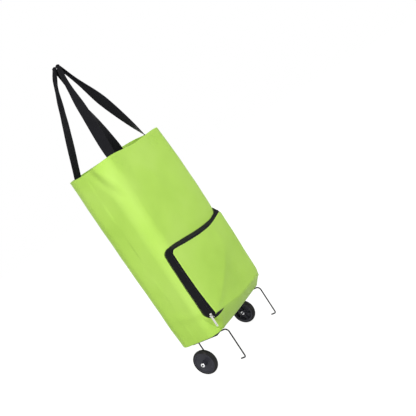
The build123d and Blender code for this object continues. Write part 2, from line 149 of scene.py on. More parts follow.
def new_piece(name, points, faces, uv=None):
    """A mesh object at the origin, smooth shaded, with its UV map in metres of cloth."""
    mesh = bpy.data.meshes.new(name)
    mesh.from_pydata([tuple(map(float, p)) for p in points], [], faces)
    mesh.polygons.foreach_set("use_smooth", [True] * len(mesh.polygons))
    if uv is not None:
        layer = mesh.uv_layers.new(name="cloth")
        corners = np.empty(len(mesh.loops), int)
        mesh.loops.foreach_get("vertex_index", corners)
        layer.data.foreach_set("uv", np.asarray(uv, np.float32)[corners].ravel())
    mesh.update()
    piece = bpy.data.objects.new(name, mesh)
    bpy.context.scene.collection.objects.link(piece)
    return piece


def grid_faces(rows, columns, wrap=False):
    """Quads over a grid of points stored row by row; wrap joins the last column to the first."""
    faces = []
    for r in range(rows - 1):
        for c in range(columns if wrap else columns - 1):
            d = (c + 1) % columns
            faces.append((r * columns + c, r * columns + d, (r + 1) * columns + d, (r + 1) * columns + c))
    return faces


def apply_modifiers(piece):
    """Bake the piece's modifiers into its mesh."""
    graph = bpy.context.evaluated_depsgraph_get()
    mesh = bpy.data.meshes.new_from_object(piece.evaluated_get(graph))
    piece.modifiers.clear()
    piece.data = mesh
    return piece


def thicken(piece, thickness, offset=-1.0, inner_slot=0):
    """Give a cloth sheet its thickness: offset -1 puts it inside the sheet, 0 on both sides of it."""
    wall = piece.modifiers.new("thickness", "SOLIDIFY")
    wall.thickness = thickness
    wall.offset = offset
    wall.use_quality_normals = True
    wall.material_offset = inner_slot
    return apply_modifiers(piece)


def dress(piece, material, body=None, replaces=()):
    """Give a piece its material, the body it rides on and the nodes it stands for."""
    piece.data.materials.clear()
    for one in material if isinstance(material, (list, tuple)) else [material]:
        piece.data.materials.append(one)
    if body:
        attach(piece, body)
    if replaces:
        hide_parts(*replaces)
    return piece


# ---------------------------------------------------------------- materials

class Finish:
    """A procedural material: small methods add the nodes that each finish is made of."""

    def __init__(self, name, **sockets):
        self.material = bpy.data.materials.new(name)
        self.material.use_nodes = True
        self.tree = self.material.node_tree
        self.shader = self.tree.nodes["Principled BSDF"]
        for key, value in sockets.items():
            self.shader.inputs[key.replace("_", " ")].default_value = value
        self.height = None

    def node(self, kind, **settings):
        """Add a node, with its settings; a key that starts with in_ sets a socket by its name."""
        node = self.tree.nodes.new("ShaderNode" + kind)
        for key, value in settings.items():
            if key.startswith("in_"):
                node.inputs[key[3:].replace("_", " ")].default_value = value
            else:
                setattr(node, key, value)
        return node

    def join(self, source, target):
        self.tree.links.new(source, target)

    def math(self, operation, first, second=None):
        """One sum on sockets or plain numbers."""
        node = self.node("Math", operation=operation)
        for socket, value in zip(node.inputs, (first, second)):
            if value is None:
                continue
            if isinstance(value, (int, float)):
                socket.default_value = value
            else:
                self.join(value, socket)
        return node.outputs[0]

    def place(self, source):
        """Coordinates: Object in metres, or UV in metres of cloth."""
        return self.node("TexCoord").outputs[source]

    def noise(self, scale, detail, stretch=(1, 1, 1)):
        """Noise of so many cells to the metre, which stays with the piece."""
        mapping = self.node("Mapping")
        mapping.inputs["Scale"].default_value = stretch
        self.join(self.place("Object"), mapping.inputs["Vector"])
        texture = self.node("TexNoise", in_Scale=scale, in_Detail=detail)
        self.join(mapping.outputs[0], texture.inputs["Vector"])
        return texture.outputs["Fac"]

    def ramp(self, value, stops):
        """Colour by (place, colour) stops."""
        ramp = self.node("ValToRGB")
        elements = ramp.color_ramp.elements
        while len(elements) < len(stops):
            elements.new(0.5)
        for element, (place, colour) in zip(elements, stops):
            element.position = place
            element.color = (*colour, 1)
        self.join(value, ramp.inputs[0])
        return ramp.outputs[0]

    def mix(self, share, first, second, blend="MIX"):
        """Two colours, each a socket or a plain colour, mixed by a share."""
        node = self.node("Mix", data_type="RGBA", blend_type=blend)
        for socket, value in zip((node.inputs[0], node.inputs[6], node.inputs[7]), (share, first, second)):
            if isinstance(value, (int, float)):
                socket.default_value = value
            elif isinstance(value, tuple):
                socket.default_value = (*value, 1)
            else:
                self.join(value, socket)
        return node.outputs[2]

    def colour(self, value):
        self.join(value, self.shader.inputs["Base Color"])
        return self

    def roughness(self, value, least, most):
        spread = self.node("MapRange", in_To_Min=least, in_To_Max=most)
        self.join(value, spread.inputs["Value"])
        self.join(spread.outputs[0], self.shader.inputs["Roughness"])
        return self

    def bump(self, value, distance, strength):
        """Add one layer of relief, in metres, over those already there."""
        bump = self.node("Bump", in_Strength=strength, in_Distance=distance)
        self.join(value, bump.inputs["Height"])
        if self.height is not None:
            self.join(self.height, bump.inputs["Normal"])
        self.height = bump.outputs[0]
        self.join(self.height, self.shader.inputs["Normal"])
        return self

    def thread_wave(self, axis, pitch):
        """|sin| along one direction of the cloth's UV map, once for each thread."""
        split = self.node("SeparateXYZ")
        self.join(self.place("UV"), split.inputs[0])
        angle = self.math("MULTIPLY", split.outputs[axis], pi / pitch)
        return self.math("ABSOLUTE", self.math("SINE", angle))

    def weave(self, pitch):
        """Relief of a plain weave, with threads along both directions of the UV map."""
        return self.math("MULTIPLY", self.thread_wave(0, pitch), self.thread_wave(1, pitch))


lime = (0.485, 0.78, 0.100)
lime_deep = (0.435, 0.72, 0.080)
lime_pale = (0.535, 0.82, 0.135)
coating = (0.33, 0.56, 0.06)
black = (0.0045, 0.0045, 0.006)
black_worn = (0.013, 0.013, 0.017)


def oxford_cloth(name, deep, middle, pale):
    """Lime oxford cloth: plain weave with painted shade between its threads, slightly uneven dye and soft
    creases.
    """
    finish = Finish(name, Roughness=0.62, Sheen_Weight=0.25, Sheen_Roughness=0.4)
    dye = finish.ramp(finish.noise(7.0, 3.0), ((0.3, deep), (0.5, middle), (0.72, pale)))
    threads = finish.weave(0.62 * mm)
    # Painted shade: the colour darkens to 0.8 between the weave's threads, where their relief would shade it.
    shade = finish.ramp(threads, ((0.0, (0.80, 0.80, 0.80)), (0.55, (1.0, 1.0, 1.0))))
    finish.colour(finish.mix(0.35, dye, shade, "MULTIPLY"))
    finish.roughness(finish.noise(60.0, 2.0), 0.55, 0.70)
    finish.bump(finish.noise(38.0, 4.0), 0.9 * mm, 0.35)
    finish.bump(threads, 0.10 * mm, 0.5)
    return finish.material


def webbing(name, deep, worn, rib_pitch, gloss):
    """Woven strap: ribs along its length, cross threads between them and slightly rubbed high spots."""
    finish = Finish(name, Roughness=0.55, Specular_IOR_Level=gloss, Sheen_Weight=0.02)
    ribs = finish.thread_wave(0, rib_pitch)
    picks = finish.thread_wave(1, rib_pitch * 0.45)
    relief = finish.math("ADD", finish.math("MULTIPLY", ribs, 0.7), finish.math("MULTIPLY", picks, 0.3))
    rubbed = finish.math("MULTIPLY", relief, finish.noise(45.0, 3.0))
    finish.colour(finish.ramp(rubbed, ((0.1, deep), (0.75, worn))))
    finish.roughness(finish.noise(120.0, 2.0), 0.45, 0.62)
    finish.bump(relief, 0.22 * mm, 0.7)
    return finish.material


def woven_tape(name):
    """Zip tape: fine herringbone, made of two diagonal sets of threads."""
    finish = Finish(name, Roughness=0.6, Specular_IOR_Level=0.08, Sheen_Weight=0.02)
    split = finish.node("SeparateXYZ")
    finish.join(finish.place("UV"), split.inputs[0])
    zigzag = finish.math("PINGPONG", split.outputs[0], 2.0 * mm)
    slant = finish.math("MULTIPLY", finish.math("ADD", split.outputs[1], zigzag), pi / (0.9 * mm))
    twill = finish.math("ABSOLUTE", finish.math("SINE", slant))
    finish.colour(finish.ramp(finish.math("MULTIPLY", twill, finish.noise(50.0, 3.0)),
                              ((0.1, black), (0.9, black_worn))))
    finish.roughness(finish.noise(90.0, 2.0), 0.5, 0.68)
    finish.bump(twill, 0.12 * mm, 0.6)
    return finish.material


def plain_thread(name, colour):
    """Twisted sewing thread."""
    finish = Finish(name, Roughness=0.5, Sheen_Weight=0.2)
    finish.colour(finish.mix(finish.noise(900.0, 1.0), colour, tuple(c * 0.6 for c in colour)))
    return finish.material


def nylon_coil(name):
    """Zip teeth: smooth black nylon with a dull shine."""
    finish = Finish(name, Roughness=0.3, Specular_IOR_Level=0.3)
    finish.colour(finish.mix(finish.noise(400.0, 2.0), (0.012, 0.012, 0.015), (0.03, 0.03, 0.034)))
    finish.roughness(finish.noise(300.0, 2.0), 0.22, 0.38)
    return finish.material


def painted_wire(name):
    """Black baked paint on wire, thin and slightly orange-peeled."""
    finish = Finish(name, Roughness=0.32, Specular_IOR_Level=0.25, Coat_Weight=0.1, Coat_Roughness=0.2)
    finish.colour(finish.ramp(finish.noise(160.0, 4.0), ((0.35, (0.008, 0.008, 0.010)),
                                                        (0.75, (0.022, 0.022, 0.025)))))
    finish.roughness(finish.noise(220.0, 3.0), 0.24, 0.42)
    finish.bump(finish.noise(900.0, 2.0), 0.04 * mm, 0.4)
    return finish.material


def moulded_plastic(name, deep, pale, grain):
    """Injection-moulded plastic: fine spark-eroded grain and faint flow marks."""
    finish = Finish(name, Roughness=0.45, Specular_IOR_Level=0.22)
    finish.colour(finish.ramp(finish.noise(28.0, 4.0), ((0.3, deep), (0.7, pale))))
    finish.roughness(finish.noise(140.0, 3.0), 0.36, 0.56)
    finish.bump(finish.noise(grain, 3.0), 0.05 * mm, 0.5)
    return finish.material


def tyre_rubber(name):
    """Solid tyre: dull black rubber, dusty in patches."""
    finish = Finish(name, Roughness=0.72, Specular_IOR_Level=0.2)
    dust = finish.noise(90.0, 5.0)
    finish.colour(finish.ramp(dust, ((0.4, (0.009, 0.009, 0.010)), (0.85, (0.040, 0.038, 0.036)))))
    finish.roughness(dust, 0.62, 0.85)
    finish.bump(finish.noise(1200.0, 2.0), 0.05 * mm, 0.5)
    return finish.material


def bright_metal(name, colour, least, most):
    """Plated metal with fine handling scratches."""
    finish = Finish(name, Metallic=1.0, Roughness=0.2)
    finish.colour(finish.mix(finish.noise(300.0, 3.0), colour, tuple(c * 0.82 for c in colour)))
    finish.roughness(finish.noise(500.0, 4.0, stretch=(1, 1, 6)), least, most)
    finish.bump(finish.noise(900.0, 2.0, stretch=(1, 1, 8)), 0.02 * mm, 0.3)
    return finish.material


def fibre_board(name):
    """Stiff base board: pressed fibre with a coated face."""
    finish = Finish(name, Roughness=0.7)
    finish.colour(finish.ramp(finish.noise(220.0, 5.0, stretch=(1, 3, 1)),
                              ((0.3, (0.030, 0.030, 0.030)), (0.7, (0.060, 0.058, 0.055)))))
    finish.bump(finish.noise(400.0, 3.0), 0.1 * mm, 0.4)
    return finish.material


lime_oxford = oxford_cloth("lime_oxford", lime_deep, lime, lime_pale)
coated_inside = oxford_cloth("coated_inside", tuple(c * 0.85 for c in coating), coating,
                             tuple(c * 1.15 for c in coating))
black_webbing = webbing("black_webbing", black, black_worn, 1.9 * mm, 0.08)
lime_webbing = webbing("lime_webbing", lime_deep, lime_pale, 1.7 * mm, 0.4)
black_tape = woven_tape("black_tape")
lime_thread = plain_thread("lime_thread", lime_pale)
black_coil = nylon_coil("black_coil")
black_wire = painted_wire("black_wire")
hub_plastic = moulded_plastic("hub_plastic", (0.022, 0.022, 0.030), (0.040, 0.040, 0.052), 1500.0)
channel_plastic = moulded_plastic("channel_plastic", (0.008, 0.008, 0.009), (0.020, 0.020, 0.021), 1100.0)
wheel_rubber = tyre_rubber("wheel_rubber")
nut_chrome = bright_metal("nut_chrome", (0.86, 0.86, 0.88), 0.06, 0.16)
zip_nickel = bright_metal("zip_nickel", (0.72, 0.71, 0.68), 0.16, 0.30)
plated_steel = bright_metal("plated_steel", (0.60, 0.60, 0.61), 0.25, 0.42)
base_fibre = fibre_board("base_fibre")


# ---------------------------------------------------------------- stitches and teeth along a line

def bead_tree(name):
    """Geometry Nodes: one small capsule for each pitch along a line, lying along it."""
    tree = bpy.data.node_groups.new(name, "GeometryNodeTree")
    face = tree.interface
    face.new_socket("Geometry", in_out="INPUT", socket_type="NodeSocketGeometry")
    for label in ("Pitch", "Length", "Width", "Height"):
        face.new_socket(label, in_out="INPUT", socket_type="NodeSocketFloat")
    face.new_socket("Material", in_out="INPUT", socket_type="NodeSocketMaterial")
    face.new_socket("Geometry", in_out="OUTPUT", socket_type="NodeSocketGeometry")
    nodes = tree.nodes
    given, result = nodes.new("NodeGroupInput"), nodes.new("NodeGroupOutput")
    line = nodes.new("GeometryNodeMeshToCurve")
    even = nodes.new("GeometryNodeResampleCurve")
    even.mode = "LENGTH"
    bead = nodes.new("GeometryNodeMeshUVSphere")
    for label, value in (("Segments", 6), ("Rings", 4), ("Radius", 0.5)):
        bead.inputs[label].default_value = value
    shape = nodes.new("GeometryNodeTransform")
    size = nodes.new("ShaderNodeCombineXYZ")
    upright = nodes.new("GeometryNodeInputNormal")
    along = nodes.new("GeometryNodeInputTangent")
    turn = nodes.new("FunctionNodeAxesToRotation")
    turn.primary_axis = "Z"
    turn.secondary_axis = "X"
    copies = nodes.new("GeometryNodeInstanceOnPoints")
    real = nodes.new("GeometryNodeRealizeInstances")
    finish = nodes.new("GeometryNodeSetMaterial")
    shade = nodes.new("GeometryNodeSetShadeSmooth")
    for source, target in (
            (given.outputs["Geometry"], line.inputs["Mesh"]),
            (line.outputs["Curve"], even.inputs["Curve"]),
            (given.outputs["Pitch"], even.inputs["Length"]),
            (given.outputs["Width"], size.inputs[0]),
            (given.outputs["Height"], size.inputs[1]),
            (given.outputs["Length"], size.inputs[2]),
            (bead.outputs["Mesh"], shape.inputs["Geometry"]),
            (size.outputs[0], shape.inputs["Scale"]),
            (along.outputs[0], turn.inputs["Primary Axis"]),
            (upright.outputs[0], turn.inputs["Secondary Axis"]),
            (even.outputs["Curve"], copies.inputs["Points"]),
            (shape.outputs["Geometry"], copies.inputs["Instance"]),
            (turn.outputs[0], copies.inputs["Rotation"]),
            (copies.outputs["Instances"], real.inputs["Geometry"]),
            (real.outputs["Geometry"], shade.inputs["Geometry"]),
            (shade.outputs["Geometry"], finish.inputs["Geometry"]),
            (given.outputs["Material"], finish.inputs["Material"]),
            (finish.outputs["Geometry"], result.inputs["Geometry"])):
        tree.links.new(source, target)
    return tree


bead_nodes = bead_tree("beads_along_a_line")


def beads_along(name, lines, pitch, size, material):
    """Stitches or teeth of a length, width and height, at an even pitch along each line of points."""
    points, edges = [], []
    for line in lines:
        first = len(points)
        points += [tuple(map(float, p)) for p in line]
        edges += [(i, i + 1) for i in range(first, len(points) - 1)]
    mesh = bpy.data.meshes.new(name)
    mesh.from_pydata(points, edges, [])
    piece = bpy.data.objects.new(name, mesh)
    bpy.context.scene.collection.objects.link(piece)
    row = piece.modifiers.new("row", "NODES")
    row.node_group = bead_nodes
    sockets = {item.name: item.identifier for item in bead_nodes.interface.items_tree
               if item.in_out == "INPUT"}
    for label, value in zip(("Pitch", "Length", "Width", "Height", "Material"), (pitch, *size, material)):
        row[sockets[label]] = value
    return apply_modifiers(piece)


# ---------------------------------------------------------------- cloth sheets and ribbons

def sheet(name, grid, across, up, centre=None):
    """Cloth over a grid of points (rows, columns, 3), its faces turned away from a centre."""
    rows, columns = grid.shape[:2]
    points = grid.reshape(-1, 3)
    faces = grid_faces(rows, columns)
    if centre is not None:
        corner, following, before = (points[[face[i] for face in faces]] for i in (0, 1, 3))
        facing = np.cross(following - corner, before - corner)
        if (facing * (corner - np.array(centre))).sum() < 0:
            faces = [face[::-1] for face in faces]
    uv = np.stack([np.broadcast_to(across, (rows, columns)).ravel(),
                   np.broadcast_to(up, (rows, columns)).ravel()], -1)
    return new_piece(name, points, faces, uv)


def ribbon(name, middle, width_way, width, curl, thickness):
    """Webbing along a line, its width in a given direction at each point; the curl bends its edges back."""
    step = np.gradient(middle, axis=0)
    tangent = step / np.linalg.norm(step, axis=1, keepdims=True)
    way = width_way - (width_way * tangent).sum(1, keepdims=True) * tangent
    way /= np.linalg.norm(way, axis=1, keepdims=True)
    up = np.cross(tangent, way)
    run = distance_along(middle)
    place = np.linspace(-1, 1, 15)
    grid = (middle[:, None] + way[:, None] * (width[:, None, None] / 2 * place[None, :, None])
            - up[:, None] * (curl[:, None, None] * (place**2)[None, :, None]))
    piece = sheet(name, grid, (place * strap_width / 2)[None, :], run[:, None])
    return thicken(piece, thickness, offset=0.0)


# ---------------------------------------------------------------- the bag's surface

def rounded_outline():
    """Points and outward directions round the bag's section, by their share of its length.

    It starts at the left side seam and goes round by the front.
    """
    side, across = half_depth - bag_corner, half_width - bag_corner
    points, normals = [], []
    for turn, (cx, cy) in enumerate(((-across, -side), (across, -side), (across, side), (-across, side))):
        for angle in pi + (turn + np.linspace(0, 1, 25)) * pi / 2:
            points.append((cx + bag_corner * cos(angle), cy + bag_corner * sin(angle)))
            normals.append((cos(angle), sin(angle)))
    points = np.array([(-half_width, 0.0)] + points + [(-half_width, 0.0)])
    normals = np.array([(-1.0, 0.0)] + normals + [(-1.0, 0.0)])
    return points, normals, distance_along(points)


outline_points, outline_normals, outline_length = rounded_outline()
girth = outline_length[-1]


def section_at(along):
    """Point and outward direction at a distance round the section."""
    along = np.asarray(along, float) % girth
    point = np.stack([np.interp(along, outline_length, outline_points[:, i]) for i in (0, 1)], -1)
    normal = np.stack([np.interp(along, outline_length, outline_normals[:, i]) for i in (0, 1)], -1)
    normal /= np.linalg.norm(normal, axis=-1, keepdims=True)
    return point, normal


# Ridges and valleys in the cloth: start and end as (distance round from the left seam, height), half the
# width, and how far each stands out.
bag_folds = (
    ((26 * mm, lip_z), (64 * mm, lip_z - 92 * mm), 7 * mm, 2.0 * mm),
    ((10 * mm, lip_z), (50 * mm, lip_z - 100 * mm), 8 * mm, -1.7 * mm),
    ((88 * mm, lip_z), (84 * mm, 0.36), 16 * mm, 1.2 * mm),
    ((29 * mm, 0.13), (110 * mm, 0.105), 12 * mm, -1.6 * mm),
    ((-20 * mm, 0.15), (60 * mm, 0.135), 10 * mm, 1.2 * mm),
)


def fold(along, z, start, end, width, height):
    """One ridge or valley of the cloth, which fades out towards its ends."""
    start, end = np.array(start), np.array(end)
    run = end - start
    length = np.linalg.norm(run)
    da, dz = along - start[0], z - start[1]
    t = (da * run[0] + dz * run[1]) / length**2
    off = (da * run[1] - dz * run[0]) / length
    return height * np.exp(-(off / width) ** 2) * smooth(t, -0.15, 0.2) * (1 - smooth(t, 0.7, 1.15))


def swell(along, z):
    """How far the cloth stands out from the straight-sided bag, along its outward direction."""
    along = np.asarray(along, float)
    round_the_bag = curve_through(along % girth, (
        (0.0, 0.0), (0.040, 0.05), (0.076, 0.20), (0.125, 0.56), (0.180, 0.88), (0.230, 1.0), (0.268, 0.98),
        (0.292, 0.90), (0.316, 0.66), (0.345, 0.36), (0.374, 0.12), (0.420, 0.0), (girth, 0.0)))
    up_the_bag = curve_through(z, (
        (floor_z, 0.0), (0.105, 2.0 * mm), (0.14, 3.5 * mm), (0.20, 5 * mm), (0.25, 7.0 * mm),
        (0.30, 10.0 * mm), (0.35, 10.8 * mm), (0.40, 10.2 * mm), (0.47, 7.2 * mm), (lip_z, 4.0 * mm)))
    from_seam = (along + girth / 2) % girth - girth / 2
    back_left = hump(from_seam, 0.0, 0.085) + hump(from_seam, -0.06, 0.06)
    out = round_the_bag * up_the_bag + back_left * curve_through(z, (
        (floor_z, 0.0), (0.12, 1.0 * mm), (0.18, 1.5 * mm), (0.35, 3.6 * mm), (0.48, 4.2 * mm),
        (lip_z, 4.2 * mm)))
    out += sum(fold(from_seam, z, *one) for one in bag_folds)
    ripple = (crossed_waves(along, z, (41, 13, 0), (-17, 29, 1.3))
              + 0.6 * crossed_waves(along, z, (83, -37, 0.7), (23, 61, 0)))
    return out + 0.45 * mm * ripple * smooth(z, floor_z, floor_z + 40 * mm)


def lip_sag(along):
    """How far the lip hangs below its straight line; the right end of the bag stands a little proud of it."""
    return curve_through(np.asarray(along) % girth, (
        (0.0, 5.5 * mm), (0.029, 4.2 * mm), (0.052, 1.8 * mm), (0.090, 0.8 * mm), (0.130, 3.2 * mm),
        (0.172, 4.2 * mm), (0.200, 2.4 * mm), (0.225, 0.5 * mm), (0.250, -1.2 * mm), (0.272, -1.4 * mm),
        (0.292, 0.4 * mm), (0.320, -0.8 * mm), (0.348, -4.2 * mm), (0.377, -8.0 * mm), (0.405, -9.0 * mm),
        (0.435, -8.0 * mm), (0.480, -5.0 * mm), (0.530, -2.5 * mm), (0.612, 0.5 * mm), (0.650, 3.0 * mm),
        (girth, 5.5 * mm)))


def bag_point(along, z, inwards=0.0):
    """Point on the bag's outer face at a distance round and a height, or inside it."""
    point, normal = section_at(along)
    out = swell(along, z) - inwards
    xy = point + normal * out[..., None]
    return np.stack([xy[..., 0], xy[..., 1] + mid_y, z], -1)


def bag_wall_at(x, z, back=False):
    """y of the bag's front or back wall at a place across it and a height."""
    near_seam = 10 * mm
    first = near_seam + (girth / 2 if back else 0)
    along = np.linspace(first, first + girth / 2 - 2 * near_seam, 500)
    column = bag_point(along, np.full_like(along, max(z, floor_z + base_curve)))
    order = np.argsort(column[:, 0])
    return float(np.interp(x, column[order, 0], column[order, 1]))


def make_bag_shell():
    """The bag: a flat floor, a soft lower edge, walls that swell and sag, and a turned hem."""
    along = np.arange(perimeter_steps) / perimeter_steps * girth
    outline = section_at(along)[0]
    level = np.ones_like(along)
    wall_low = floor_z + base_curve
    lip = lip_z - hem_gap - lip_sag(along)
    edge_steps, lip_steps, hem_steps = 6, 4, 8
    rows, heights = [], []
    for inset in (0.98, 0.8, 0.6, 0.4, 0.2):
        shrunk = outline * (1 - 0.98 * inset)
        rows.append(np.stack([shrunk[:, 0], shrunk[:, 1] + mid_y, floor_z * level], -1))
        heights.append(-inset * half_depth)
    for step in range(edge_steps + 1):
        angle = step / edge_steps * pi / 2
        z = (floor_z + base_curve * (1 - cos(angle))) * level
        rows.append(bag_point(along, z, base_curve * (1 - sin(angle))))
        heights.append(base_curve * angle)
    for step in range(1, wall_steps + 1):
        share = step / wall_steps
        rows.append(bag_point(along, wall_low + (lip - wall_low) * share))
        heights.append(base_curve + share * (lip_z - wall_low))
    for step in range(1, lip_steps + 1):
        angle = step / lip_steps * pi
        rows.append(bag_point(along, lip + hem_gap * sin(angle), hem_gap * (1 - cos(angle))))
        heights.append(heights[-1] + hem_gap * pi / lip_steps)
    for step in range(1, hem_steps + 1):
        rows.append(bag_point(along, lip - hem_height * step / hem_steps, 2 * hem_gap))
        heights.append(heights[-1] + hem_height / hem_steps)
    uv = np.stack([np.tile(along, len(rows)), np.repeat(heights, perimeter_steps)], -1)
    floor_middle = tuple(range(perimeter_steps))[::-1]
    faces = grid_faces(len(rows), perimeter_steps, wrap=True) + [floor_middle]
    bag = new_piece("bag_shell", np.concatenate(rows), faces, uv)
    shell = bmesh.new()
    shell.from_mesh(bag.data)
    bmesh.ops.recalc_face_normals(shell, faces=shell.faces)
    shell.to_mesh(bag.data)
    shell.free()
    return thicken(bag, cloth, inner_slot=1)


dress(make_bag_shell(), [lime_oxford, coated_inside], "bag",
      ("bag_front_panel", "bag_back_panel", "bag_bottom_panel"))


# ---------------------------------------------------------------- pocket

def ridge_x(z):
    """Where the pocket panel stands out most: low on the left, right of the middle higher up."""
    return curve_through(z, ((0.125, -0.105), (0.146, -0.067), (0.171, -0.018), (0.205, 0.030),
                             (0.290, 0.042)))


def panel_face(x, z):
    """y of the pocket panel's face, which falls away on both sides of its soft ridge."""
    x = np.asarray(x, float)
    off, softness = x - ridge_x(z), 9 * mm
    soft = np.sqrt(off**2 + softness**2) - softness
    fall = np.where(off < 0, 0.050 * soft, pocket_crown * (1 - np.exp(-soft / (60 * mm))))
    right_end = 5.7 * np.maximum(0, x - 0.095) ** 2
    right_foot = 4 * mm * hump(x, panel_half, 22 * mm) * hump(z, 0.0985, 13 * mm)
    ripple = (crossed_waves(x, z, (47, 31, 0), (-19, 43, 0))
              + 0.5 * crossed_waves(x, z, (101, -67, 0), (37, 89, 0)))
    return panel_y - pocket_crown + fall + right_end + right_foot + 0.35 * mm * ripple


def panel_top(x):
    """Height of the panel's upper edge, which sags along its zip."""
    return curve_through(x, ((-panel_half, 0.2885), (-0.058, 0.2812), (-0.006, 0.2755), (0.030, 0.2740),
                             (0.060, 0.2755), (panel_half, 0.2825)))


def panel_foot(x):
    """Height of the panel's lower edge, where it folds into the strip below it."""
    return curve_through(x, ((-panel_half, 0.1255), (-0.100, 0.1225), (-0.080, 0.1185), (-0.040, 0.112),
                             (0.005, 0.1055), (0.050, 0.1045), (0.095, 0.1035), (panel_half, 0.0985)))


def make_pocket_panel():
    """The pocket's front: a soft panel with rounded upper corners and turned edges."""
    x = panel_half * np.sin(np.linspace(-pi / 2, pi / 2, 181))[None, :]
    beside = panel_half - np.abs(x)
    missing = np.maximum(panel_corner - beside, 0)
    top = panel_top(x) - (panel_corner - np.sqrt(np.maximum(panel_corner**2 - missing**2, 0)))
    foot = panel_foot(x)
    share = (0.5 + 0.5 * np.sin(np.linspace(-pi / 2, pi / 2, 111)))[:, None]
    z = foot + (top - foot) * share
    turned = sum(np.clip(1 - gap / panel_rim, 0, 1) ** 2 for gap in (beside + 0 * z, top - z, z - foot))
    pucker = 0.25 * mm * np.sin(x * 620 + 2 * np.sin(z * 90)) * np.exp(-(top - z) / (9 * mm))
    y = panel_face(x, z) + panel_turn * np.minimum(turned, 1) + pucker
    grid = np.stack([np.broadcast_to(x, z.shape), y, z], -1)
    panel = sheet("pocket_front", grid, x, z, centre=(0, mid_y, 0.2))
    return thicken(panel, panel_thickness)


def panel_edge(inset):
    """The panel's left, upper and right edges as (x, z, outward x, outward z), from low on the left."""
    flat, bend, side_steps = panel_half - panel_corner, panel_corner - inset, 90
    turn = np.linspace(0, pi / 2, 14)
    ends = []
    for side in (-1, 1):
        foot, top = (edge(side * panel_half) for edge in (panel_foot, panel_top))
        corner = side * (flat + bend * np.cos(turn))
        ends.append(np.stack([
            np.r_[np.full(side_steps, side * (panel_half - inset)), corner],
            np.r_[np.linspace(foot + inset, top - panel_corner, side_steps),
                  panel_top(corner) - panel_corner + bend * np.sin(turn)],
            np.r_[np.full(side_steps, side), side * np.cos(turn)],
            np.r_[np.zeros(side_steps), np.sin(turn)]], -1))
    across = np.linspace(-flat, flat, 170)
    upper = np.stack([across, panel_top(across) - inset, 0 * across, np.ones_like(across)], -1)
    return np.concatenate([ends[0], upper, ends[1][::-1]])


def gusset_edges():
    """The gusset's edge on the panel, its edge on the bag, its outward direction and the distance along it.

    It starts as a thin tail under the panel's lower left corner.
    """
    rim = panel_edge(gusset_inset)
    rim = rim[np.r_[True, np.linalg.norm(np.diff(rim[:, :2], axis=0), axis=1) > 0.05 * mm]]
    tail = np.linspace(tail_x, -panel_half + gusset_inset, 40)[:-1]
    rim = np.concatenate([np.stack([tail, panel_foot(tail), 0 * tail, -np.ones_like(tail)], -1), rim])
    run = distance_along(rim[:, :2])
    x, z, out_x, out_z = rim.T
    on_panel = np.stack([x, panel_face(x, z) + gusset_setback, z], -1)
    above = curve_through(x, ((-panel_half, 8 * mm), (-0.087, 10.8 * mm), (-0.021, 12 * mm), (0.034, 9.8 * mm),
                              (0.088, 5.5 * mm), (0.109, 7 * mm), (0.116, 12 * mm), (panel_half, 10 * mm)))
    beside = np.where(x < 0, 1.2 * mm, 4 * mm)
    reach = (above * out_z**2 + beside * out_x**2) * smooth(run, 38 * mm, 52 * mm)
    reach[:len(tail)] = 0
    outer_x = x + out_x * reach
    outer_z = z + out_z * reach + curve_through(run, (
        (0, 0), (10 * mm, -3.2 * mm), (25 * mm, -6.5 * mm), (36 * mm, -8.5 * mm), (43 * mm, -6 * mm),
        (56 * mm, 0)))
    right_corner = run[np.argmin(np.hypot(out_x - 0.7, out_z - 0.7))]
    outer_z += 9 * mm * hump(run, right_corner, 13 * mm) - 12 * mm * smooth(run, run[-1] - 35 * mm, run[-1])
    share = curve_through(run, ((0, 0.01), (10 * mm, 0.05), (25 * mm, 0.12), (35 * mm, 0.28),
                                (40 * mm, 0.60), (45 * mm, 0.86), (54 * mm, 1)))
    into_wall = 0.3 * mm
    wall = np.array([bag_wall_at(a, b) for a, b in zip(outer_x, outer_z)]) + into_wall
    outer_y = on_panel[:, 1] + (wall - on_panel[:, 1]) * share
    outward = np.stack([out_x, 0 * out_x, out_z], -1)
    return on_panel, np.stack([outer_x, outer_y, outer_z], -1), outward, run


gusset_in, gusset_out, gusset_way, gusset_run = gusset_edges()
gusset_width = np.linalg.norm(gusset_out - gusset_in, axis=1)


def gusset_at(share, lift=0.0):
    """Points along the gusset at a share of the way from the panel to the bag."""
    share = np.broadcast_to(share, gusset_run.shape)[:, None]
    full = smooth(gusset_run, 30 * mm, 60 * mm)[:, None]
    bulge = 0.3 * mm + 1.0 * mm * gusset_way[:, 2:] ** 2
    return (gusset_in + (gusset_out - gusset_in) * share
            + gusset_way * (bulge * 4 * share * (1 - share) * full + lift))


def make_gusset():
    """Black tape gusset between the panel and the bag; the zip runs along it."""
    shares = np.linspace(0, 1, 15)
    grid = np.stack([gusset_at(share) for share in shares])
    piece = sheet("pocket_side", grid, shares[:, None] * gusset_width[None, :], gusset_run[None, :],
                  centre=(0, -40 * mm, 0.2))
    return thicken(piece, tape)


def zip_row(name, behind):
    """Teeth at a distance behind the panel's face, from the slider round to the right side."""
    slack = 3.6 * mm * (1 - smooth(gusset_run, 50 * mm, 95 * mm))
    share = (behind - gusset_setback + slack) / np.maximum(gusset_width, 6 * mm)
    line = gusset_at(np.clip(share, 0, 0.9), tooth_lift)
    line = line[(gusset_run > 41 * mm) & (gusset_run < gusset_run[-1] - 3 * mm)]
    return beads_along(name, [line], tooth_pitch, tooth_size, black_coil)


